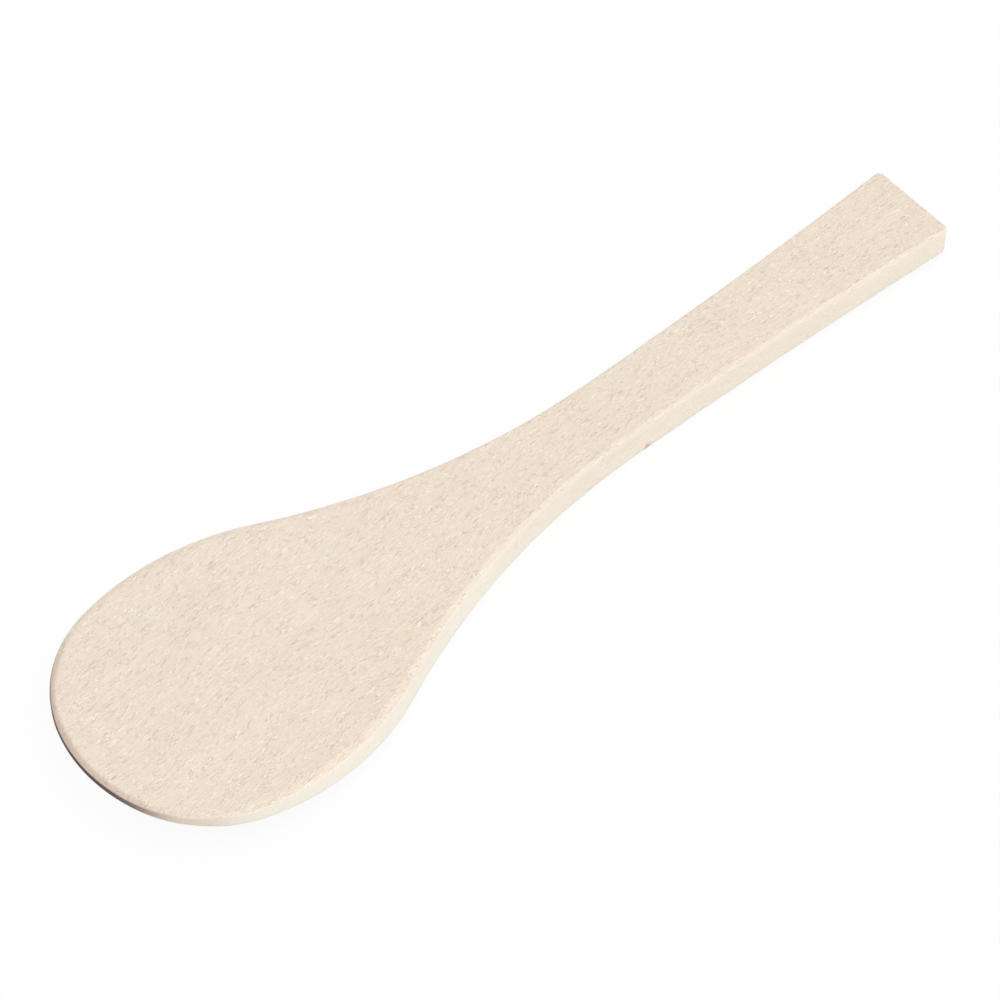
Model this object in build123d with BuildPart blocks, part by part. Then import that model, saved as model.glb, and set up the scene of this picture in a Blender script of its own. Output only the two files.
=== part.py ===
from build123d import *
import math
import os

# A one-piece wooden rice paddle, lying face up with its underside on Z = 0.
# X runs from the tip of the blade (-X) to the end of the handle (+X) and Y across it.
# The origin is under the middle of the length. All sizes are in millimetres.

# The board that the paddle is sawn from
length = 210.0
board_thickness = 8.8

# Plan of the blade: an egg shape, its arcs tangent to each other from the tip to the neck
blade_width = 59.0
tip_to_widest = 33.4
tip_radius = 33.5
tip_arc_degrees = 18.0
flank_radius = 57.5

# Plan of the neck and the handle
neck_width = 15.6
neck_radius = 158.0
end_width = 20.3
end_corner_radius = 1.2

# Underside: ground away towards the lip, flat where the paddle rests, then eased a little
# all the way to the handle's end
lip_thickness = 2.8
grind_length = 51.0
grind_blend_radius = 470.0
rest_length = 31.5
end_thickness = 8.0

# Edges: the upper one rolls off softly round the blade and crisply along the handle
roll_depth = 0.8
blade_roll_width = 1.4
handle_roll_width = 0.6
roll_sections = 4
lower_edge_radius = 1.0

# The most of the lip, left under its rolled upper edge, that the lower edge may round away
lip_edge_share = 0.8

# How far down a normal points, at least, on every face of the underside
downward = -0.9

# Ends of the board and centres of the blade's arcs, on the +Y side
tip_x = -length / 2
end_x = length / 2
tip_center = Vector(tip_x + tip_radius, 0)
flank_center = Vector(tip_x + tip_to_widest, blade_width / 2 - flank_radius)

# The shoulder arc starts tangent to the tip arc and ends tangent inside the flank arc
shoulder_start_heading = 180 - tip_arc_degrees
outward = Vector(1, 0).rotate(Axis.Z, shoulder_start_heading)
to_flank = flank_center - (tip_center + outward * tip_radius)
shoulder_radius = (flank_radius**2 - to_flank.length**2) / (2 * (flank_radius + to_flank.dot(outward)))
shoulder_center = tip_center + outward * (tip_radius - shoulder_radius)

# The neck arc touches the flank arc from outside and is level where the handle is slimmest
arcs_reach = flank_radius + neck_radius
neck_drop = (blade_width - neck_width) / 2
flank_to_neck = math.sqrt(arcs_reach**2 - (arcs_reach - neck_drop) ** 2)
neck_x = flank_center.X + flank_to_neck

# Heights of the underside's two ends above the flat that the paddle rests on
grind_rise = board_thickness - lip_thickness
end_rise = board_thickness - end_thickness

# Where the ground slope would meet the flat, and where the flat ends on its way to the handle
grind_x = tip_x + grind_length
blend_reach = grind_blend_radius * math.tan(math.atan2(grind_rise, grind_length) / 2)
easing_x = grind_x + blend_reach + rest_length


def heading(start, finish):
    """Direction from one point to another, in degrees from +X."""
    return math.degrees(math.atan2(finish.Y - start.Y, finish.X - start.X))


def draw_outline(blade_inset, handle_inset):
    """Draw the plan's edge, moved in by one distance round the blade and by another on the handle."""
    half_neck = neck_width / 2 - handle_inset
    flank = flank_radius - blade_inset
    rise = half_neck - flank_center.Y
    neck = (flank_to_neck**2 + rise**2 - flank**2) / (2 * (flank - rise))
    neck_center = Vector(neck_x, half_neck + neck)
    flank_start_heading = heading(flank_center, shoulder_center)
    flank_end_heading = heading(flank_center, neck_center)

    CenterArc(tip_center, tip_radius - blade_inset, 180, -tip_arc_degrees)
    CenterArc(
        shoulder_center,
        shoulder_radius - blade_inset,
        shoulder_start_heading,
        flank_start_heading - shoulder_start_heading,
    )
    CenterArc(flank_center, flank, flank_start_heading, flank_end_heading - flank_start_heading)
    CenterArc(neck_center, neck, flank_end_heading - 180, 90 - flank_end_heading)
    end_corner = Vector(end_x - handle_inset, end_width / 2 - handle_inset)
    TangentArc((neck_x, half_neck), end_corner, tangent=(1, 0))
    Line(end_corner, (end_corner.X, 0))
    mirror(about=Plane.XZ)


def outline_sketch(height, blade_inset, handle_inset):
    """Sketch of the whole plan at a height, with the two corners of the handle's end rounded."""
    with BuildSketch(Plane.XY.offset(height)) as plan:
        with BuildLine():
            draw_outline(blade_inset, handle_inset)
        make_face()
        fillet(plan.vertices().sort_by(Axis.X)[-2:], radius=end_corner_radius)
    return plan.sketch


with BuildPart() as paddle:
    # The board, sawn square to its flat upper face
    extrude(outline_sketch(0, 0, 0), amount=board_thickness - roll_depth)

    # The rolled edge above it, a quarter turn of plan sections that draw in step by step
    edge_sections = []
    for section in range(roll_sections):
        turn = math.radians(90 * section / (roll_sections - 1))
        height = board_thickness - roll_depth * (1 - math.sin(turn))
        inset = 1 - math.cos(turn)
        edge_sections.append(outline_sketch(height, blade_roll_width * inset, handle_roll_width * inset))
    loft(sections=edge_sections)

    # The underside, cut along a side profile that runs past the wood at both ends
    with BuildSketch(Plane.XZ):
        with BuildLine():
            ground = FilletPolyline(
                (tip_x - grind_length, 2 * grind_rise),
                (grind_x, 0),
                (easing_x, 0),
                radius=grind_blend_radius,
            )
            eased = TangentArc(ground @ 1, (end_x, end_rise), tangent=(1, 0))
            Polyline(
                eased @ 1,
                eased @ 1 + (eased % 1) * board_thickness,
                (end_x + board_thickness, -board_thickness),
                (tip_x - grind_length, -board_thickness),
                ground @ 0,
            )
        make_face()
    extrude(amount=blade_width, both=True, mode=Mode.SUBTRACT)

    # The lower edge, rounded all the way along
    underside = paddle.faces().filter_by(lambda face: face.normal_at().Z < downward)
    crossing_edges = underside.edges().filter_by(Axis.Y)
    lower_edge = underside.edges().filter_by(Axis.Y, reverse=True) + crossing_edges.sort_by(Axis.X)[-1:]
    fillet(lower_edge, radius=min(lower_edge_radius, lip_edge_share * (lip_thickness - roll_depth)))

paddle.part.label = "paddle"

os.makedirs("parts", exist_ok=True)
export_step(paddle.part, "parts/paddle.step")
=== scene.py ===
import logging
import math
from collections.abc import Iterable, Mapping
from dataclasses import dataclass, field
from enum import Enum
from typing import Any

import bmesh
import bpy
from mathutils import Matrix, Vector


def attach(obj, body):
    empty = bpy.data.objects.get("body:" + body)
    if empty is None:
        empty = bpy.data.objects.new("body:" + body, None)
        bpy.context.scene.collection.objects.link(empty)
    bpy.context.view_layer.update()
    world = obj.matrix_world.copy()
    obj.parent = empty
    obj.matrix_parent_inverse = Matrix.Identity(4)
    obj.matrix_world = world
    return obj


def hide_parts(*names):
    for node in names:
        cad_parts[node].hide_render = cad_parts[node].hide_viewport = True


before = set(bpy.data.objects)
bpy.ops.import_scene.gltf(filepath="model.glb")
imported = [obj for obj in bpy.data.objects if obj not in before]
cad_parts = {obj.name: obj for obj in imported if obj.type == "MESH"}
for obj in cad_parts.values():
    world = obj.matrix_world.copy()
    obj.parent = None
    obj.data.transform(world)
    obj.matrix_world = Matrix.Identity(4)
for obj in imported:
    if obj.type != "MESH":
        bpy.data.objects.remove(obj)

# A one-piece rice paddle of sanded, untreated beech, lying face up on a pale floor.
# Metres, in the frame of the CAD: X runs from the tip of the blade to the end of the handle,
# Y across it, and Z up out of the flat upper face, with the underside resting on Z = 0.

MM = 0.001
CAD_NODE = "paddle"

# What each vertex of the blank tells the shaping tree: fields of a Ring, by the same names
VERTEX_NOTES = ("hang", "depth", "wear")

# The middle of a noise texture and of the wood's relief, which both run from 0 to 1
MIDDLE = 0.5

# How many finer layers lie over the first one of a noise texture
SOFT = 1.0
FINE = 2.0

Pair = tuple[float, float]
Triple = tuple[float, float, float]
Socket = bpy.types.NodeSocket
Tree = bpy.types.NodeTree

log = logging.getLogger("rice_paddle")


def linear(hex_colour: str) -> tuple[float, float, float, float]:
    """Turn an sRGB hex colour into the linear one that shaders take.

    Args:
        hex_colour: Six hex digits after a hash sign.

    Returns:
        Linear red, green and blue, and an alpha of 1.
    """
    parts = (int(hex_colour[n : n + 2], 16) / 255 for n in (1, 3, 5))
    red, green, blue = (p / 12.92 if p <= 0.04045 else ((p + 0.055) / 1.055) ** 2.4 for p in parts)
    return red, green, blue, 1.0


def add_node(
    tree: Tree,
    kind: str,
    inputs: Mapping[int | str, Any] | None = None,
    **settings: Any,
) -> bpy.types.Node:
    """Add a node with its settings, and fill or link its inputs.

    Args:
        tree: Tree that gets the node.
        kind: Blender's name for the type of node.
        inputs: For each input, by number or name, the socket that feeds it or its own value.
        settings: Properties of the node itself.

    Returns:
        The new node.
    """
    node = tree.nodes.new(kind)
    for name, value in settings.items():
        setattr(node, name, value)
    for name, value in (inputs or {}).items():
        if isinstance(value, Socket):
            tree.links.new(value, node.inputs[name])
        else:
            node.inputs[name].default_value = value
    return node


@dataclass(frozen=True)
class Arc:
    """An arc of the plan, walked from one heading to another about its centre."""

    center: Vector
    radius: float
    start: float
    end: float
    steps: int

    def points(self) -> list[Vector]:
        """Points along the arc, without its first, which ends the arc before it."""
        turns = (self.start + (self.end - self.start) * n / self.steps for n in range(1, self.steps + 1))
        return [self.center + self.radius * Vector((math.cos(t), math.sin(t))) for t in turns]


def heading(start: Vector, finish: Vector) -> float:
    """Direction from one point of the plan to another, in radians from +X."""
    return math.atan2(finish.y - start.y, finish.x - start.x)


@dataclass(frozen=True)
class Plan:
    """The paddle's outline from above: an egg-shaped blade, a slim neck and a flaring handle."""

    length: float = 210.0 * MM
    blade_width: float = 59.0 * MM
    tip_to_widest: float = 33.4 * MM
    tip_radius: float = 33.5 * MM
    tip_arc: float = math.radians(18.0)
    flank_radius: float = 57.5 * MM
    neck_width: float = 15.6 * MM
    neck_radius: float = 158.0 * MM
    end_width: float = 20.3 * MM
    corner_radius: float = 1.2 * MM

    # How many straight steps each arc is drawn in: tip, shoulder, flank, neck, handle and corner
    arc_steps: tuple[int, ...] = (12, 40, 44, 76, 110, 8)

    @property
    def tip_x(self) -> float:
        """Where the blade's tip is along the paddle."""
        return -self.length / 2

    def side(self, blade_inset: float, handle_inset: float) -> list[Vector]:
        """Walk the +Y side of the outline from the tip to the straight edge of the handle's end.

        Args:
            blade_inset: How far the line is moved in round the blade.
            handle_inset: How far it is moved in along the neck and the handle.

        Returns:
            Points of the plan. The same place has the same number at every inset.
        """
        tip_center = Vector((self.tip_x + self.tip_radius, 0.0))
        flank_center = Vector((self.tip_x + self.tip_to_widest, self.blade_width / 2 - self.flank_radius))
        shoulder_start = math.pi - self.tip_arc
        outward = Vector((math.cos(shoulder_start), math.sin(shoulder_start)))
        to_flank = flank_center - (tip_center + outward * self.tip_radius)
        shoulder_radius = (self.flank_radius**2 - to_flank.length_squared) / (
            2 * (self.flank_radius + to_flank.dot(outward))
        )
        shoulder_center = tip_center + outward * (self.tip_radius - shoulder_radius)

        reach = self.flank_radius + self.neck_radius
        drop = (self.blade_width - self.neck_width) / 2
        flank_to_neck = math.sqrt(reach**2 - (reach - drop) ** 2)
        half_neck = self.neck_width / 2 - handle_inset
        flank = self.flank_radius - blade_inset
        rise = half_neck - flank_center.y
        neck = (flank_to_neck**2 + rise**2 - flank**2) / (2 * (flank - rise))
        neck_center = Vector((flank_center.x + flank_to_neck, half_neck + neck))
        flank_start = heading(flank_center, shoulder_center)
        flank_end = heading(flank_center, neck_center)

        end_x = self.length / 2 - handle_inset
        run = end_x - neck_center.x
        flare = self.end_width / 2 - handle_inset - half_neck
        handle = (run**2 + flare**2) / (2 * flare)
        handle_center = Vector((neck_center.x, half_neck + handle))
        corner_x = end_x - self.corner_radius
        corner_drop = math.sqrt((handle + self.corner_radius) ** 2 - (corner_x - handle_center.x) ** 2)
        corner_center = Vector((corner_x, handle_center.y - corner_drop))
        corner_start = heading(corner_center, handle_center)

        steps = self.arc_steps
        arcs = (
            Arc(tip_center, self.tip_radius - blade_inset, math.pi, shoulder_start, steps[0]),
            Arc(shoulder_center, shoulder_radius - blade_inset, shoulder_start, flank_start, steps[1]),
            Arc(flank_center, flank, flank_start, flank_end, steps[2]),
            Arc(neck_center, neck, flank_end - math.pi, -math.pi / 2, steps[3]),
            Arc(handle_center, handle, -math.pi / 2, corner_start - math.pi, steps[4]),
            Arc(corner_center, self.corner_radius, corner_start, 0.0, steps[5]),
        )
        walked = [tip_center - Vector((self.tip_radius - blade_inset, 0.0))]
        for arc in arcs:
            walked += arc.points()
        return walked


@dataclass(frozen=True)
class Ring:
    """One loop of the wood's skin, on its way from the upper face round the edge to the underside.

    A ring hangs from the upper face where hang is 1, and stands on the underside where it is 0.
    Depth is how far it keeps from that face, and wear how much of the edges' sanding it takes.
    """

    blade_inset: float
    handle_inset: float
    hang: float
    depth: float
    wear: float


@dataclass(frozen=True)
class Edge:
    """How the board's edge is rounded off at the top and at the bottom."""

    roll_depth: float = 0.8 * MM
    blade_roll_width: float = 1.4 * MM
    handle_roll_width: float = 0.6 * MM
    lower_radius: float = 1.0 * MM
    roll_steps: int = 7
    wall_steps: int = 7

    # How far in the border of a flat face lies, in widths of the rounding beside it
    face_margin: float = 1.25

    def rings(self) -> list[Ring]:
        """Work out the rings of the skin.

        Returns:
            All rings, from the border of the upper face to the border of the underside.
        """
        blade, handle, low = self.blade_roll_width, self.handle_roll_width, self.lower_radius
        made = [Ring(blade * self.face_margin, handle * self.face_margin, 1.0, 0.0, 0.0)]
        for n in range(self.roll_steps, -1, -1):
            turn = math.pi / 2 * n / self.roll_steps
            inset, depth = 1 - math.cos(turn), self.roll_depth * (1 - math.sin(turn))
            made.append(Ring(blade * inset, handle * inset, 1.0, depth, math.sin(2 * turn)))
        for n in range(1, self.wall_steps):
            hang = 1 - n / self.wall_steps
            made.append(Ring(0.0, 0.0, hang, low + (self.roll_depth - low) * hang, 0.0))
        for n in range(self.roll_steps + 1):
            turn = math.pi / 2 * n / self.roll_steps
            inset, depth = low * (1 - math.cos(turn)), low * (1 - math.sin(turn))
            made.append(Ring(inset, inset, 0.0, depth, math.sin(2 * turn)))
        made.append(Ring(low * self.face_margin, low * self.face_margin, 0.0, 0.0, 0.0))
        return made


@dataclass(frozen=True)
class Grinding:
    """The side profile of the underside, ground up to the lip and eased towards the handle's end."""

    board_thickness: float = 8.8 * MM
    lip_thickness: float = 2.8 * MM
    length: float = 51.0 * MM
    blend_radius: float = 470.0 * MM
    rest_length: float = 31.5 * MM
    end_thickness: float = 8.0 * MM

    def inputs(self, plan: Plan) -> dict[str, float]:
        """Work out the sizes that the shaping tree takes.

        Args:
            plan: The outline, which says where the board ends.

        Returns:
            The tree's inputs by name, in metres.
        """
        slope = (self.board_thickness - self.lip_thickness) / self.length
        corner = plan.tip_x + self.length
        reach = self.blend_radius * math.tan(math.atan(slope) / 2)
        rest_end = corner + reach + self.rest_length
        run, rise = plan.length / 2 - rest_end, self.board_thickness - self.end_thickness
        return {
            "board thickness": self.board_thickness,
            "grind slope": slope,
            "blend start": corner - reach * math.cos(math.atan(slope)),
            "blend radius": self.blend_radius,
            "rest start": corner + reach,
            "rest end": rest_end,
            "easing radius": (run**2 + rise**2) / (2 * rise),
        }


@dataclass(frozen=True)
class HandSanding:
    """How unevenly the sanding took wood off: the most it took, and how long its waves are."""

    face_depth: float = 0.10 * MM
    face_wave: float = 22.0 * MM
    edge_depth: float = 0.28 * MM
    edge_wave: float = 9.0 * MM
    seed: int = 7

    def inputs(self) -> dict[str, float | int]:
        """The shaping tree's inputs by name, in metres."""
        return {
            "face depth": self.face_depth,
            "face wave": self.face_wave,
            "edge depth": self.edge_depth,
            "edge wave": self.edge_wave,
            "seed": self.seed,
        }


class BeechTone(Enum):
    """Tones of fresh beech: each an sRGB hex value, and how much of it there is at most.

    PINK lies under all the others, which are laid over it in this order.
    Some also hold painted light and shade: on the flanks, in the hollows, on the crests and round the tip.
    """

    PINK = ("#EFDCC9", 1.0)
    STRAW = ("#EFE1CE", 1.0)
    # Paler, yellower flank wood, with painted light on the flanks
    FLANK_AND_LIGHT = ("#FEF9EB", 1.0)
    BAND = ("#BFA088", 0.05)
    # The pores' darker tone with painted shade in them, then a painted highlight on raised fibres
    HOLLOW_AND_SHADE = ("#C8AB90", 0.52)
    CREST_HIGHLIGHT = ("#FFF8EA", 0.95)
    RAY = ("#BFA088", 0.4)
    # Painted shade on the tip's rolled edge, then the lip's dark end grain with painted shade over it
    ROLL_SHADE = ("#C6A396", 0.45)
    END_GRAIN_SHADE = ("#3C261F", 0.96)
    STAIN = ("#C08E70", 0.6)

    def __init__(self, colour: str, most: float) -> None:
        """Give the two parts of a tone their names."""
        self.colour = colour
        self.most = most


@dataclass(frozen=True)
class SandedBeech:
    """Beech, sanded and left untreated.

    To the eye it is pale and matt, with thin pores that the sanding cut open, darker in their own tone
    and with painted shade, raised fibres with a painted highlight beside them, short dark ray flecks
    along the grain and faint growth bands. The flanks are paler and yellower, and painted light
    brightens them. Round the tip, where the saw went across the fibres, painted shade darkens the
    rolled edge, and the lip under it is dark end grain, deepened by painted shade. Sizes are in
    millimetres of wood: along the fibres, across them and through the board. A turn is the pair of
    values between which something sets in, and a share is the least and the most that there is of it.
    """

    # Growth bands 2 to 3 mm wide, slow drifts of colour, and ray flecks 1 to 3 mm long, which are
    # all drawn as large as they are in beech
    band: Triple = (60.0, 2.6, 7.0)
    drift: Triple = (14.0, 7.0, 12.0)
    ray_cell: Triple = (4.4, 0.8, 9.0)
    ray_turn: Pair = (0.30, 0.08)
    ray_chance_turn: Pair = (0.45, 1.35)
    ray_band_gain: float = 0.5
    ray_bend: Triple = (1.6, 0.5, 0.0)
    ray_bends_per_mm: float = 1.3

    # A real pore is under 0.1 mm wide, and sanding grit leaves marks as fine. A pixel of the render
    # is 0.2 mm of wood, so pores, fibres and grit are drawn a few times too coarse, or they'd vanish.
    pore: Triple = (2.6, 0.36, 1.0)
    slit_turn: Pair = (0.18, 0.05)
    slit_depth: float = 1.6
    raised_turn: Pair = (0.38, 0.19)
    clump: Triple = (5.0, 1.0, 3.0)
    clump_turn: Pair = (0.3, 0.9)
    clump_share: Pair = (0.35, 0.95)
    gap: Triple = (0.9, 0.55, 0.9)
    gap_turn: Pair = (0.3, 0.7)
    gap_share: Pair = (0.35, 1.0)
    fibre: Triple = (3.4, 0.42, 0.8)
    grit: Triple = (0.42, 0.30, 0.30)
    grit_share: float = 0.4
    woven_share: float = 0.25

    # What depends on the way that the wood faces, and on how far along the paddle it is: the flanks'
    # paler wood with painted light on it, and round the tip painted shade on the rolled edge and dark end
    # grain with painted shade on the lip, deepest where the wood faces the shaded side, away from the light.
    open_turn: Pair = (0.2, 0.9)
    open_share: Pair = (0.45, 1.0)
    flank_turn: Pair = (0.1, 0.75)
    flank_share: Pair = (0.45, 0.85)
    handle_turn: Pair = (10.0, -30.0)
    tip_turn: Pair = (-98.0, -86.0)
    shaded_side: Triple = (-0.966, 0.259, 0.0)
    shaded_side_turn: Pair = (0.55, 0.96)
    roll_shade_turn: Pair = (0.12, 0.5)
    lip_shade_turn: Pair = (0.55, 0.9)

    # The small brown mark low on the neck's flank
    stain_place: Triple = (26.3, -7.9, 1.2)
    stain_size: Triple = (1.1, 0.8, 1.3)
    stain_turn: Pair = (1.1, 0.3)
    stain_tears_per_mm: float = 1.6

    # The fibres' course: how steeply they cross the board, how that changes, and how they waver
    grain_slope: float = 0.070
    grain_bend: float = -0.00025
    grain_waver: float = 5.0
    grain_wavers_per_mm: float = 0.035

    # The part of a noise texture's range that its values fill, which is stretched from 0 to 1
    noise_range: Pair = (0.3, 0.7)

    # Depth of the relief in millimetres, how much of it a ray is sunk, and the sheen of bare wood,
    # which is a little rougher on raised fibres than in slits
    relief_depth: float = 0.05
    ray_sink: float = 0.6
    roughness: float = 0.66
    roughness_spread: float = 0.06
    ior: float = 1.5

    def build(self) -> bpy.types.Material:
        """Build the material.

        Returns:
            A material that reads Object coordinates.
        """
        # Bare sanded beech: pale, warm and matt, with a fine brushed grain
        material = bpy.data.materials.new("sanded_untreated_beech")
        material.use_nodes = True
        tree = material.node_tree
        tree.nodes.clear()
        place = add_node(tree, "ShaderNodeTexCoord").outputs
        wood = add_node(
            tree, "ShaderNodeVectorMath", {0: place["Object"], 3: 1 / MM}, operation="SCALE"
        ).outputs[0]
        facing = add_node(tree, "ShaderNodeSeparateXYZ", {0: place["Normal"]}).outputs
        grain = self.grain_space(tree, wood)
        bands = self.streaks(tree, grain, self.band)
        rays = self.flecks(tree, grain, facing[2], bands)
        # Painted shade on the tip's rolled edge, and dark end grain with painted shade on the lip
        shaded_roll, shaded_lip = self.end_grain_and_shade(tree, place["Normal"])
        # The face is sanded across its pores, and the sawn flanks are smoother
        (low, high), (least, most) = self.open_turn, self.open_share
        opened = add_node(
            tree, "ShaderNodeMapRange", {0: facing[2], 1: low, 2: high, 3: least, 4: most}
        ).outputs[0]
        relief = add_node(
            tree, "ShaderNodeMix", {0: opened, 2: MIDDLE, 3: self.pores(tree, grain)}
        ).outputs[0]
        # Painted shade in the hollows of the relief, and a painted highlight on its crests
        hollow_shade, crest_highlight = (
            add_node(tree, "ShaderNodeMapRange", {0: relief, 1: MIDDLE, 2: end}).outputs[0]
            for end in (0.0, 1.0)
        )
        # Some layers are painted light: light on the flanks and a highlight on the crests, and painted shade
        # in the hollows and round the tip, over the lip's darker end grain.
        layers = (
            (self.streaks(tree, grain, self.drift), BeechTone.STRAW),
            (self.flank(tree, wood, facing[1], facing[2]), BeechTone.FLANK_AND_LIGHT),
            (bands, BeechTone.BAND),
            (hollow_shade, BeechTone.HOLLOW_AND_SHADE),
            (crest_highlight, BeechTone.CREST_HIGHLIGHT),
            (rays, BeechTone.RAY),
            (shaded_roll, BeechTone.ROLL_SHADE),
            (shaded_lip, BeechTone.END_GRAIN_SHADE),
            (self.stain(tree, wood), BeechTone.STAIN),
        )
        self.surface(tree, self.colour(tree, layers), relief, rays)
        return material

    def flank(self, tree: Tree, wood: Socket, across: Socket, upward: Socket) -> Socket:
        """Paler flank wood with painted light: most on the blade's flanks, less on the handle's.

        Args:
            tree: The material's tree.
            wood: Place in the wood, in millimetres.
            across: The Y part of the object's own normal.
            upward: Its Z part.

        Returns:
            A share from 0 to 1.
        """
        along = add_node(tree, "ShaderNodeSeparateXYZ", {0: wood}).outputs[0]
        sideways, level = (
            add_node(tree, "ShaderNodeMath", {0: part}, operation="ABSOLUTE").outputs[0]
            for part in (across, upward)
        )
        steep = add_node(tree, "ShaderNodeMath", {0: sideways, 1: level}, operation="SUBTRACT").outputs[0]
        handle, tip, facing = (
            add_node(
                tree,
                "ShaderNodeMapRange",
                {0: value, 1: turn[0], 2: turn[1], 3: share[0], 4: share[1]},
                interpolation_type="SMOOTHSTEP",
            ).outputs[0]
            for value, turn, share in (
                (along, self.handle_turn, self.flank_share),
                (along, self.tip_turn, (0.0, 1.0)),
                (steep, self.flank_turn, (0.0, 1.0)),
            )
        )
        blade = add_node(tree, "ShaderNodeMath", {0: handle, 1: tip}, operation="MULTIPLY").outputs[0]
        return add_node(tree, "ShaderNodeMath", {0: facing, 1: blade}, operation="MULTIPLY").outputs[0]

    def end_grain_and_shade(self, tree: Tree, normal: Socket) -> tuple[Socket, Socket]:
        """How much painted shade and dark end grain lie round the tip, on the side away from the light.

        Args:
            tree: The material's tree.
            normal: The object's own normal.

        Returns:
            Shares from 0 to 1: of painted shade on the rolled edge, and of dark end grain with painted
            shade on the lip.
        """
        flat = add_node(
            tree, "ShaderNodeVectorMath", {0: normal, 1: (1.0, 1.0, 0.0)}, operation="MULTIPLY"
        ).outputs[0]
        steep = add_node(tree, "ShaderNodeVectorMath", {0: flat}, operation="LENGTH").outputs["Value"]
        compass = add_node(tree, "ShaderNodeVectorMath", {0: flat}, operation="NORMALIZE").outputs[0]
        # Painted shade and dark end grain are laid where the wood faces the shaded side, away from the light
        toward = add_node(
            tree, "ShaderNodeVectorMath", {0: compass, 1: self.shaded_side}, operation="DOT_PRODUCT"
        ).outputs["Value"]
        facing = add_node(
            tree,
            "ShaderNodeMapRange",
            {0: toward, 1: self.shaded_side_turn[0], 2: self.shaded_side_turn[1]},
            interpolation_type="SMOOTHSTEP",
        ).outputs[0]
        shaded_roll, shaded_lip = (
            add_node(
                tree,
                "ShaderNodeMapRange",
                {0: steep, 1: turn[0], 2: turn[1], 4: facing},
                interpolation_type="SMOOTHSTEP",
            ).outputs[0]
            for turn in (self.roll_shade_turn, self.lip_shade_turn)
        )
        return shaded_roll, shaded_lip

    def stain(self, tree: Tree, wood: Socket) -> Socket:
        """A small brown mark low on the neck's flank.

        Args:
            tree: The material's tree.
            wood: Place in the wood, in millimetres.

        Returns:
            How much of the mark there is, from 0 to 1.
        """
        offset = add_node(
            tree, "ShaderNodeVectorMath", {0: wood, 1: self.stain_place}, operation="SUBTRACT"
        ).outputs[0]
        scaled = add_node(
            tree, "ShaderNodeVectorMath", {0: offset, 1: self.stain_size}, operation="DIVIDE"
        ).outputs[0]
        ragged = add_node(
            tree, "ShaderNodeTexNoise", {"Vector": wood, "Scale": self.stain_tears_per_mm}
        ).outputs["Color"]
        torn = add_node(tree, "ShaderNodeVectorMath", {0: scaled, 1: ragged}, operation="ADD").outputs[0]
        reach = add_node(
            tree, "ShaderNodeVectorMath", {0: torn, 1: (MIDDLE, MIDDLE, MIDDLE)}, operation="DISTANCE"
        ).outputs["Value"]
        return add_node(
            tree,
            "ShaderNodeMapRange",
            {0: reach, 1: self.stain_turn[0], 2: self.stain_turn[1]},
            interpolation_type="SMOOTHSTEP",
        ).outputs[0]

    def grain_space(self, tree: Tree, wood: Socket) -> Socket:
        """Lay coordinates along the fibres, which sweep a few degrees across the board.

        Args:
            tree: The material's tree.
            wood: Place in the wood, in millimetres.

        Returns:
            Coordinates in millimetres, with X along the fibres.
        """
        split = add_node(tree, "ShaderNodeSeparateXYZ", {0: wood}).outputs
        slope = add_node(
            tree,
            "ShaderNodeMath",
            {0: split[0], 1: self.grain_bend, 2: self.grain_slope},
            operation="MULTIPLY_ADD",
        ).outputs[0]
        sweep = add_node(tree, "ShaderNodeMath", {0: split[0], 1: slope}, operation="MULTIPLY").outputs[0]
        waver = add_node(
            tree, "ShaderNodeTexNoise", {"Vector": wood, "Scale": self.grain_wavers_per_mm, "Detail": SOFT}
        ).outputs[0]
        wander = add_node(
            tree, "ShaderNodeMath", {0: waver, 1: self.grain_waver, 2: sweep}, operation="MULTIPLY_ADD"
        ).outputs[0]
        across = add_node(tree, "ShaderNodeMath", {0: split[1], 1: wander}, operation="SUBTRACT").outputs[0]
        return add_node(tree, "ShaderNodeCombineXYZ", {0: split[0], 1: across, 2: split[2]}).outputs[0]

    def streaks(self, tree: Tree, grain: Socket, size: Triple, detail: float = FINE) -> Socket:
        """Make soft streaks along the fibres.

        Args:
            tree: The material's tree.
            grain: Coordinates along the fibres.
            size: How large the streaks are, in millimetres.
            detail: How many finer layers of streaks lie over them.

        Returns:
            A value that swings from 0 to 1 over each streak.
        """
        scaled = add_node(tree, "ShaderNodeVectorMath", {0: grain, 1: size}, operation="DIVIDE").outputs[0]
        noise = add_node(
            tree, "ShaderNodeTexNoise", {"Vector": scaled, "Scale": 1.0, "Detail": detail}
        ).outputs[0]
        return add_node(
            tree, "ShaderNodeMapRange", {0: noise, 1: self.noise_range[0], 2: self.noise_range[1]}
        ).outputs[0]

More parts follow.
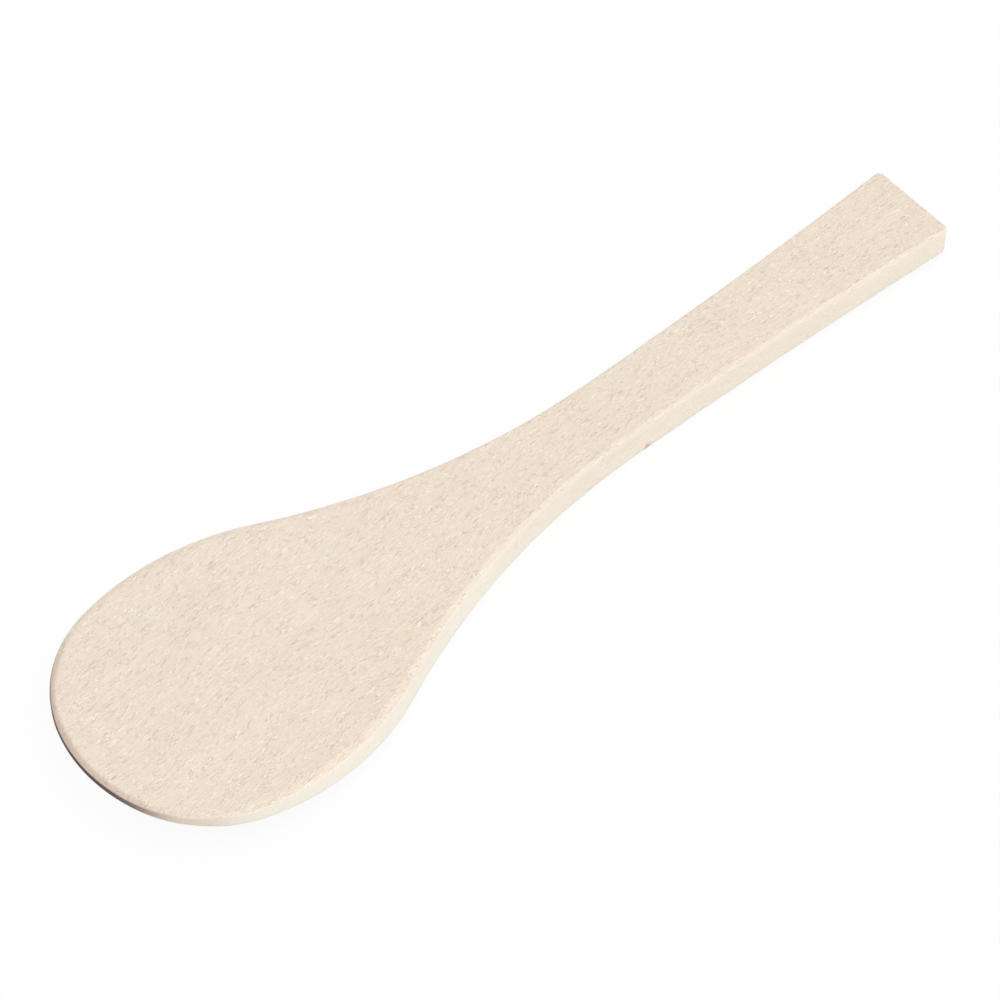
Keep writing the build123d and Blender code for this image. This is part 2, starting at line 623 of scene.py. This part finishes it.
    def pores(self, tree: Tree, grain: Socket) -> Socket:
        """Pores cut open by the sanding: broken thin slits in clumps, with fibres raised beside them.

        Args:
            tree: The material's tree.
            grain: Coordinates along the fibres.

        Returns:
            Relief, from 0 in a slit over 0.5 on smooth wood to 1 on raised fibres.
        """
        wave = self.streaks(tree, grain, self.pore)
        off = add_node(tree, "ShaderNodeMath", {0: wave, 1: MIDDLE}, operation="SUBTRACT").outputs[0]
        apart = add_node(tree, "ShaderNodeMath", {0: off}, operation="ABSOLUTE").outputs[0]
        slit, raised = (
            add_node(
                tree,
                "ShaderNodeMapRange",
                {0: apart, 1: turn[0], 2: turn[1]},
                interpolation_type="SMOOTHSTEP",
            ).outputs[0]
            for turn in (self.slit_turn, self.raised_turn)
        )
        profile = add_node(
            tree, "ShaderNodeMath", {0: slit, 1: -self.slit_depth, 2: raised}, operation="MULTIPLY_ADD"
        ).outputs[0]
        clumped, unbroken = (
            add_node(
                tree,
                "ShaderNodeMapRange",
                {0: streaks, 1: turn[0], 2: turn[1], 3: share[0], 4: share[1]},
                interpolation_type="SMOOTHSTEP",
            ).outputs[0]
            for streaks, turn, share in (
                (self.streaks(tree, grain, self.clump), self.clump_turn, self.clump_share),
                (self.streaks(tree, grain, self.gap, detail=SOFT), self.gap_turn, self.gap_share),
            )
        )
        strength = add_node(
            tree, "ShaderNodeMath", {0: clumped, 1: unbroken}, operation="MULTIPLY"
        ).outputs[0]
        cut = add_node(
            tree, "ShaderNodeMath", {0: profile, 1: strength, 2: MIDDLE}, operation="MULTIPLY_ADD"
        ).outputs[0]
        fibres = self.streaks(tree, grain, self.fibre)
        grit = self.streaks(tree, grain, self.grit, detail=SOFT)
        woven = add_node(tree, "ShaderNodeMix", {0: self.grit_share, 2: fibres, 3: grit}).outputs[0]
        return add_node(tree, "ShaderNodeMix", {0: self.woven_share, 2: cut, 3: woven}).outputs[0]

    def flecks(self, tree: Tree, grain: Socket, upward: Socket, bands: Socket) -> Socket:
        """The ends of the wood's rays: ragged spindles, more of them in the dense bands of the grain.

        Args:
            tree: The material's tree.
            grain: Coordinates along the fibres.
            upward: The Z part of the object's own normal. The flanks show few ray ends.
            bands: The growth bands, from 0 to 1.

        Returns:
            How much of a fleck there is, from 0 to 1.
        """
        ragged = add_node(
            tree, "ShaderNodeTexNoise", {"Vector": grain, "Scale": self.ray_bends_per_mm, "Detail": FINE}
        ).outputs["Color"]
        bent = add_node(
            tree, "ShaderNodeVectorMath", {0: ragged, 1: self.ray_bend, 2: grain}, operation="MULTIPLY_ADD"
        ).outputs[0]
        scaled = add_node(
            tree, "ShaderNodeVectorMath", {0: bent, 1: self.ray_cell}, operation="DIVIDE"
        ).outputs[0]
        cells = add_node(tree, "ShaderNodeTexVoronoi", {"Vector": scaled, "Scale": 1.0}).outputs
        drawn = add_node(tree, "ShaderNodeSeparateColor", {0: cells["Color"]}).outputs[0]
        chance = add_node(
            tree, "ShaderNodeMath", {0: bands, 1: self.ray_band_gain, 2: drawn}, operation="MULTIPLY_ADD"
        ).outputs[0]
        kept, body = (
            add_node(
                tree,
                "ShaderNodeMapRange",
                {0: value, 1: turn[0], 2: turn[1]},
                interpolation_type="SMOOTHSTEP",
            ).outputs[0]
            for value, turn in ((chance, self.ray_chance_turn), (cells["Distance"], self.ray_turn))
        )
        fleck = add_node(tree, "ShaderNodeMath", {0: body, 1: kept}, operation="MULTIPLY").outputs[0]
        level = add_node(tree, "ShaderNodeMath", {0: upward, 1: 2.0}, operation="POWER").outputs[0]
        return add_node(tree, "ShaderNodeMath", {0: fleck, 1: level}, operation="MULTIPLY").outputs[0]

    def colour(self, tree: Tree, layers: Iterable[tuple[Socket, BeechTone]]) -> Socket:
        """Lay the wood's tones over each other.

        Args:
            tree: The material's tree.
            layers: For each tone, how much of its most there is at each place, from 0 to 1.

        Returns:
            The colour of the wood.
        """
        laid: Any = linear(BeechTone.PINK.colour)
        for share, tone in layers:
            amount = add_node(
                tree, "ShaderNodeMath", {0: share, 1: tone.most}, operation="MULTIPLY"
            ).outputs[0]
            laid = add_node(
                tree, "ShaderNodeMix", {0: amount, 6: laid, 7: linear(tone.colour)}, data_type="RGBA"
            ).outputs[2]
        return laid

    def surface(self, tree: Tree, colour: Socket, relief: Socket, rays: Socket) -> None:
        """Give the wood its sheen and its fine relief.

        Args:
            tree: The material's tree.
            colour: The colour of the wood.
            relief: Pores, raised fibres and grit, from 0 to 1.
            rays: Ray flecks, which are sunk a little.
        """
        height = add_node(
            tree, "ShaderNodeMath", {0: rays, 1: -self.ray_sink, 2: relief}, operation="MULTIPLY_ADD"
        ).outputs[0]
        bump = add_node(
            tree, "ShaderNodeBump", {"Height": height, "Distance": self.relief_depth * MM, "Strength": 1.0}
        ).outputs[0]
        sheen = add_node(
            tree,
            "ShaderNodeMapRange",
            {
                0: relief,
                3: self.roughness - self.roughness_spread,
                4: self.roughness + self.roughness_spread,
            },
        ).outputs[0]
        wood = add_node(
            tree,
            "ShaderNodeBsdfPrincipled",
            {"Base Color": colour, "Roughness": sheen, "IOR": self.ior, "Normal": bump},
        ).outputs[0]
        add_node(tree, "ShaderNodeOutputMaterial", {0: wood})


# Rows of the shaping tree. Each makes one value from two others, by an operation of a Math node.
# These give the height of the ground underside over the floor, and then of each ring of the skin.
HEIGHT_STEPS = (
    ("x past blend start", "MAXIMUM", "x", "blend start"),
    ("x on blend", "MINIMUM", "x past blend start", "rest start"),
    ("blend run", "SUBTRACT", "rest start", "x on blend"),
    ("blend run squared", "MULTIPLY", "blend run", "blend run"),
    ("blend radius squared", "MULTIPLY", "blend radius", "blend radius"),
    ("blend fall squared", "SUBTRACT", "blend radius squared", "blend run squared"),
    ("blend fall", "SQRT", "blend fall squared", "zero"),
    ("blend rise", "SUBTRACT", "blend radius", "blend fall"),
    ("slope run", "SUBTRACT", "blend start", "x"),
    ("slope run held", "MAXIMUM", "slope run", "zero"),
    ("slope rise", "MULTIPLY", "slope run held", "grind slope"),
    ("easing reach", "SUBTRACT", "x", "rest end"),
    ("easing run", "MAXIMUM", "easing reach", "zero"),
    ("easing run squared", "MULTIPLY", "easing run", "easing run"),
    ("easing radius squared", "MULTIPLY", "easing radius", "easing radius"),
    ("easing fall squared", "SUBTRACT", "easing radius squared", "easing run squared"),
    ("easing fall", "SQRT", "easing fall squared", "zero"),
    ("easing rise", "SUBTRACT", "easing radius", "easing fall"),
    ("ground", "ADD", "blend rise", "slope rise"),
    ("underside", "ADD", "ground", "easing rise"),
    ("low", "ADD", "underside", "depth"),
    ("high", "SUBTRACT", "board thickness", "depth"),
    ("height between", "SUBTRACT", "high", "low"),
    ("height share", "MULTIPLY", "height between", "hang"),
    ("z", "ADD", "low", "height share"),
)

# And these how far the sanding moves the skin along its normal, which is always inwards
SANDING_STEPS = (
    ("off face", "MULTIPLY", "face noise", "face depth"),
    ("off edge", "MULTIPLY", "edge noise", "edge depth"),
    ("off worn edge", "MULTIPLY", "off edge", "wear"),
    ("taken off", "ADD", "off face", "off worn edge"),
    ("offset", "SUBTRACT", "zero", "taken off"),
)


@dataclass
class Paddle:
    """The whole paddle: blade, neck and handle, sawn from one board."""

    plan: Plan = field(default_factory=Plan)
    edge: Edge = field(default_factory=Edge)
    grinding: Grinding = field(default_factory=Grinding)
    sanding: HandSanding = field(default_factory=HandSanding)

    # How many quads lie across each flat face
    rows: int = 44

    @property
    def sizes(self) -> dict[str, float | int]:
        """The shaping tree's inputs by name, in metres."""
        return self.grinding.inputs(self.plan) | self.sanding.inputs()

    def loop(self, ring: Ring) -> list[Vector]:
        """Walk round the plan: the +Y side, the handle's end and the -Y side back to the tip.

        Args:
            ring: The ring of the skin that is drawn.

        Returns:
            Its points, which make one closed loop.
        """
        side = self.plan.side(ring.blade_inset, ring.handle_inset)
        corner = side[-1]
        end = [Vector((corner.x, corner.y * (1 - 2 * n / self.rows))) for n in range(1, self.rows)]
        return side + end + [Vector((p.x, -p.y)) for p in side[:0:-1]]

    def face_numbers(self, border: list[int], inner: list[list[int]], columns: int) -> list[list[int]]:
        """Number the vertices of a flat face, column by column from the tip.

        Args:
            border: Numbers of the loop round the face.
            inner: Numbers of the vertices inside it, by column.
            columns: How many columns the face has after the tip.

        Returns:
            For each column, its vertices from the +Y side to the -Y side.
        """
        numbered = []
        for column in range(1, columns + 1):
            inside = inner[column - 1] if column < columns else border[columns + 1 : columns + self.rows]
            numbered.append([border[column], *inside, border[-column]])
        return numbered

    def blank(self) -> bpy.types.Mesh:
        """Mesh the board's skin flat in its plan, with what the shaping tree needs on each vertex.

        Returns:
            A closed mesh with the vertex notes as attributes.
        """
        places: list[Vector] = []
        notes: list[Ring] = []
        faces: list[list[int]] = []
        borders = []
        for ring in self.edge.rings():
            loop = self.loop(ring)
            borders.append(list(range(len(places), len(places) + len(loop))))
            places += loop
            notes += [ring] * len(loop)
        for upper, lower in zip(borders, borders[1:]):
            count = len(upper)
            faces += [
                [upper[n], upper[(n + 1) % count], lower[(n + 1) % count], lower[n]] for n in range(count)
            ]
        for border in (borders[0], borders[-1]):
            columns = (len(border) - self.rows) // 2
            inner = []
            for column in range(1, columns):
                rim = places[border[column]]
                inner.append(list(range(len(places), len(places) + self.rows - 1)))
                places += [Vector((rim.x, rim.y * (1 - 2 * n / self.rows))) for n in range(1, self.rows)]
                notes += [notes[border[column]]] * (self.rows - 1)
            numbered = self.face_numbers(border, inner, columns)
            faces += [[border[0], numbered[0][n], numbered[0][n + 1]] for n in range(self.rows)]
            for near, far in zip(numbered, numbered[1:]):
                faces += [[near[n], far[n], far[n + 1], near[n + 1]] for n in range(self.rows)]

        mesh = bpy.data.meshes.new("board_blank")
        # The blank is given its thickness for now, so that its faces can be turned to point outwards
        lift = self.grinding.board_thickness
        mesh.from_pydata([(p.x, p.y, note.hang * lift) for p, note in zip(places, notes)], [], faces)
        for name in VERTEX_NOTES:
            values = mesh.attributes.new(name, "FLOAT", "POINT").data
            values.foreach_set("value", [getattr(note, name) for note in notes])
        turned = bmesh.new()
        turned.from_mesh(mesh)
        bmesh.ops.recalc_face_normals(turned, faces=turned.faces)
        turned.to_mesh(mesh)
        turned.free()
        return mesh

    def work_out(self, tree: Tree, known: dict[str, Any], steps: Iterable[tuple[str, ...]]) -> None:
        """Add one Math node for each row of steps.

        Args:
            tree: The shaping tree.
            known: Values by name, which the rows read and add to.
            steps: For each value, its name, the operation, and the names of the two that it takes.
        """
        for name, operation, left, right in steps:
            inputs = {0: known[left], 1: known[right]}
            known[name] = add_node(tree, "ShaderNodeMath", inputs, operation=operation).outputs[0]

    def shaping_tree(self, wood: bpy.types.Material) -> Tree:
        """Build the tree that grinds the underside, rolls the edges and sands the whole by hand.

        Args:
            wood: The material that the tree sets.

        Returns:
            A tree with one named input for each size.
        """
        tree = bpy.data.node_groups.new("grind_and_sand", "GeometryNodeTree")
        for direction in ("INPUT", "OUTPUT"):
            tree.interface.new_socket("Geometry", in_out=direction, socket_type="NodeSocketGeometry")
        for name, value in self.sizes.items():
            kind = "NodeSocketInt" if isinstance(value, int) else "NodeSocketFloat"
            tree.interface.new_socket(name, in_out="INPUT", socket_type=kind)
        given = add_node(tree, "NodeGroupInput").outputs
        position = add_node(tree, "GeometryNodeInputPosition").outputs[0]
        plan = add_node(tree, "ShaderNodeSeparateXYZ", {0: position}).outputs
        known: dict[str, Any] = {name: given[name] for name in self.sizes}
        known |= {"x": plan[0], "zero": 0.0}
        for name in VERTEX_NOTES:
            noted = add_node(tree, "GeometryNodeInputNamedAttribute", {"Name": name}, data_type="FLOAT")
            known[name] = noted.outputs["Attribute"]

        self.work_out(tree, known, HEIGHT_STEPS)
        place = add_node(tree, "ShaderNodeCombineXYZ", {0: plan[0], 1: plan[1], 2: known["z"]}).outputs[0]
        shaped = add_node(
            tree, "GeometryNodeSetPosition", {"Geometry": given["Geometry"], "Position": place}
        ).outputs[0]

        # Long shallow waves over the faces, and shorter ones along the edges
        for worked in ("face", "edge"):
            scale = add_node(
                tree, "ShaderNodeMath", {0: 1.0, 1: known[f"{worked} wave"]}, operation="DIVIDE"
            ).outputs[0]
            known[f"{worked} noise"] = add_node(
                tree,
                "ShaderNodeTexNoise",
                {"Vector": position, "W": known["seed"], "Scale": scale, "Detail": SOFT},
                noise_dimensions="4D",
            ).outputs[0]
        self.work_out(tree, known, SANDING_STEPS)
        outward = add_node(tree, "GeometryNodeInputNormal").outputs[0]
        inward = add_node(
            tree, "ShaderNodeVectorMath", {0: outward, 3: known["offset"]}, operation="SCALE"
        ).outputs[0]
        sanded = add_node(tree, "GeometryNodeSetPosition", {"Geometry": shaped, "Offset": inward}).outputs[0]
        smooth = add_node(tree, "GeometryNodeSetShadeSmooth", {"Geometry": sanded}).outputs[0]
        real = add_node(tree, "GeometryNodeRealizeInstances", {0: smooth}).outputs[0]
        dressed = add_node(tree, "GeometryNodeSetMaterial", {"Geometry": real, "Material": wood}).outputs[0]
        add_node(tree, "NodeGroupOutput", {0: dressed})
        return tree

    def build(self, wood: bpy.types.Material) -> bpy.types.Object:
        """Shape the blank with the tree and leave a plain mesh.

        Args:
            wood: The material of the paddle.

        Returns:
            The finished piece, at the origin.
        """
        worked = bpy.data.objects.new("board_blank", self.blank())
        bpy.context.collection.objects.link(worked)
        tree = self.shaping_tree(wood)
        modifier = worked.modifiers.new("grind_and_sand", "NODES")
        modifier.node_group = tree
        for socket in tree.interface.items_tree:
            if socket.in_out == "INPUT" and socket.name in self.sizes:
                modifier[socket.identifier] = self.sizes[socket.name]
        bpy.context.view_layer.update()
        evaluated = worked.evaluated_get(bpy.context.evaluated_depsgraph_get())
        mesh = bpy.data.meshes.new_from_object(evaluated)
        bpy.data.objects.remove(worked)
        mesh.name = "beech_paddle"
        for name in VERTEX_NOTES:
            mesh.attributes.remove(mesh.attributes[name])
        piece = bpy.data.objects.new("beech_paddle", mesh)
        bpy.context.collection.objects.link(piece)
        return piece


@dataclass(frozen=True)
class Lamp:
    """A wide soft light, far away: how bright it is, how wide it looks and where it stands.

    Its width, azimuth and elevation are in degrees. Azimuth 0 shines along +Y and 90 along -X.
    """

    name: str
    strength: float
    width: float
    azimuth: float
    elevation: float

    def build(self) -> bpy.types.Object:
        """Hang the lamp.

        Returns:
            The lamp's object.
        """
        data = bpy.data.lights.new(self.name, "SUN")
        # A sun of strength pi makes white that faces it as bright as plain white
        data.energy = self.strength * math.pi
        data.angle = math.radians(self.width)
        lamp = bpy.data.objects.new(self.name, data)
        lamp.rotation_euler = (math.radians(90 - self.elevation), 0.0, math.radians(self.azimuth))
        bpy.context.collection.objects.link(lamp)
        return lamp


@dataclass(frozen=True)
class Studio:
    """A plain pale floor, one low soft lamp, a room that is dim on one side, and the camera."""

    # The floor's half width in metres, its colour to the camera and as it throws back light, and
    # how much of it the camera sees as a plain white glow. The rest shows the paddle's shadow.
    floor_reach: float = 6.0
    floor_seen: str = "#FFFFFF"
    floor_bounce: str = "#BCBCBC"
    floor_glow: float = 0.92

    # How bright the room is to the camera, and as a light, which fades away from the lit side
    room_seen: float = 1.0
    room_lit: float = 1.05
    room_dim: float = 0.02
    room_lit_side: Triple = (0.707, 0.0, 0.707)
    room_turn: Pair = (-0.35, 0.05)
    lamp: Lamp = Lamp(name="near_softbox", strength=0.40, width=30.0, azimuth=-20.0, elevation=6.0)

    # The camera that was fitted to the photograph: metres, degrees, millimetres of lens on the
    # usual sensor, and shares of the picture's width
    camera_distance: float = 0.900126
    camera_azimuth: float = -40.864
    camera_elevation: float = 53.02
    focal_length: float = 167.66
    shift: Pair = (-0.01873, -0.002573)

    def build(self) -> None:
        """Set up the floor, the room, the lamp and the camera."""
        self.build_floor()
        self.build_room()
        self.lamp.build()
        self.build_camera()
        bpy.context.scene.view_settings.view_transform = "Standard"

    def build_floor(self) -> None:
        """Lay the floor. The camera sees it white, and it throws back the light of a greyer one."""
        reach = self.floor_reach
        corners = [(-reach, -reach, 0), (reach, -reach, 0), (reach, reach, 0), (-reach, reach, 0)]
        mesh = bpy.data.meshes.new("floor")
        mesh.from_pydata(corners, [], [(0, 1, 2, 3)])
        # Uncoated paper: an even white without any gloss, which keeps the paddle's soft shadow
        material = bpy.data.materials.new("pale_paper_floor")
        material.use_nodes = True
        tree = material.node_tree
        tree.nodes.clear()
        seen = self.seen_directly(tree)
        white = linear(self.floor_seen)
        tone = add_node(
            tree, "ShaderNodeMix", {0: seen, 6: linear(self.floor_bounce), 7: white}, data_type="RGBA"
        ).outputs[2]
        paper = add_node(tree, "ShaderNodeBsdfDiffuse", {"Color": tone}).outputs[0]
        glow = add_node(tree, "ShaderNodeEmission", {"Color": white, "Strength": 1.0}).outputs[0]
        washed = add_node(
            tree, "ShaderNodeMath", {0: seen, 1: self.floor_glow}, operation="MULTIPLY"
        ).outputs[0]
        surface = add_node(tree, "ShaderNodeMixShader", {0: washed, 1: paper, 2: glow}).outputs[0]
        add_node(tree, "ShaderNodeOutputMaterial", {0: surface})
        mesh.materials.append(material)
        floor = bpy.data.objects.new("floor", mesh)
        bpy.context.collection.objects.link(floor)

    def seen_directly(self, tree: Tree) -> Socket:
        """Tell rays of the camera from those that carry light.

        Args:
            tree: The tree of the floor or the room.

        Returns:
            1 where a ray comes from the camera, or from it by a mirror or through glass, and else 0.
        """
        path = add_node(tree, "ShaderNodeLightPath").outputs
        seen = path["Is Camera Ray"]
        for name in ("Is Glossy Ray", "Is Transmission Ray"):
            seen = add_node(tree, "ShaderNodeMath", {0: seen, 1: path[name]}, operation="MAXIMUM").outputs[0]
        return seen

    def build_room(self) -> None:
        """Make the room white to the eye. As a light, it is dim low down on the side of the blade's tip."""
        world = bpy.data.worlds.new("white_room_dim_on_one_side")
        world.use_nodes = True
        bpy.context.scene.world = world
        tree = world.node_tree
        tree.nodes.clear()
        toward = add_node(tree, "ShaderNodeTexCoord").outputs["Generated"]
        side = add_node(
            tree, "ShaderNodeVectorMath", {0: toward, 1: self.room_lit_side}, operation="DOT_PRODUCT"
        ).outputs["Value"]
        light = add_node(
            tree,
            "ShaderNodeMapRange",
            {0: side, 1: self.room_turn[0], 2: self.room_turn[1], 3: self.room_dim, 4: self.room_lit},
            interpolation_type="SMOOTHSTEP",
        ).outputs[0]
        strength = add_node(
            tree, "ShaderNodeMix", {0: self.seen_directly(tree), 2: light, 3: self.room_seen}
        ).outputs[0]
        glow = add_node(
            tree, "ShaderNodeBackground", {"Color": linear("#FFFFFF"), "Strength": strength}
        ).outputs[0]
        add_node(tree, "ShaderNodeOutputWorld", {0: glow})

    def build_camera(self) -> None:
        """Place the camera where the photograph was taken from."""
        data = bpy.data.cameras.new("photograph")
        data.lens = self.focal_length
        data.shift_x, data.shift_y = self.shift
        camera = bpy.data.objects.new("photograph", data)
        azimuth, elevation = math.radians(self.camera_azimuth), math.radians(self.camera_elevation)
        camera.location = self.camera_distance * Vector(
            (
                math.sin(azimuth) * math.cos(elevation),
                -math.cos(azimuth) * math.cos(elevation),
                math.sin(elevation),
            )
        )
        camera.rotation_euler = (math.pi / 2 - elevation, 0.0, azimuth)
        bpy.context.collection.objects.link(camera)
        bpy.context.scene.camera = camera


def main() -> None:
    """Build the studio and the paddle, hang the paddle on the root body, hide the CAD node and log both."""
    logging.basicConfig(level=logging.INFO, format="%(name)s: %(message)s")
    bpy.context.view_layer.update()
    Studio().build()
    log.info("studio: floor, room, lamp and camera")
    piece = Paddle().build(SandedBeech().build())
    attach(piece, "root")
    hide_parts(CAD_NODE)
    log.info("%s: %d faces", piece.name, len(piece.data.polygons))


if __name__ == "__main__":
    main()
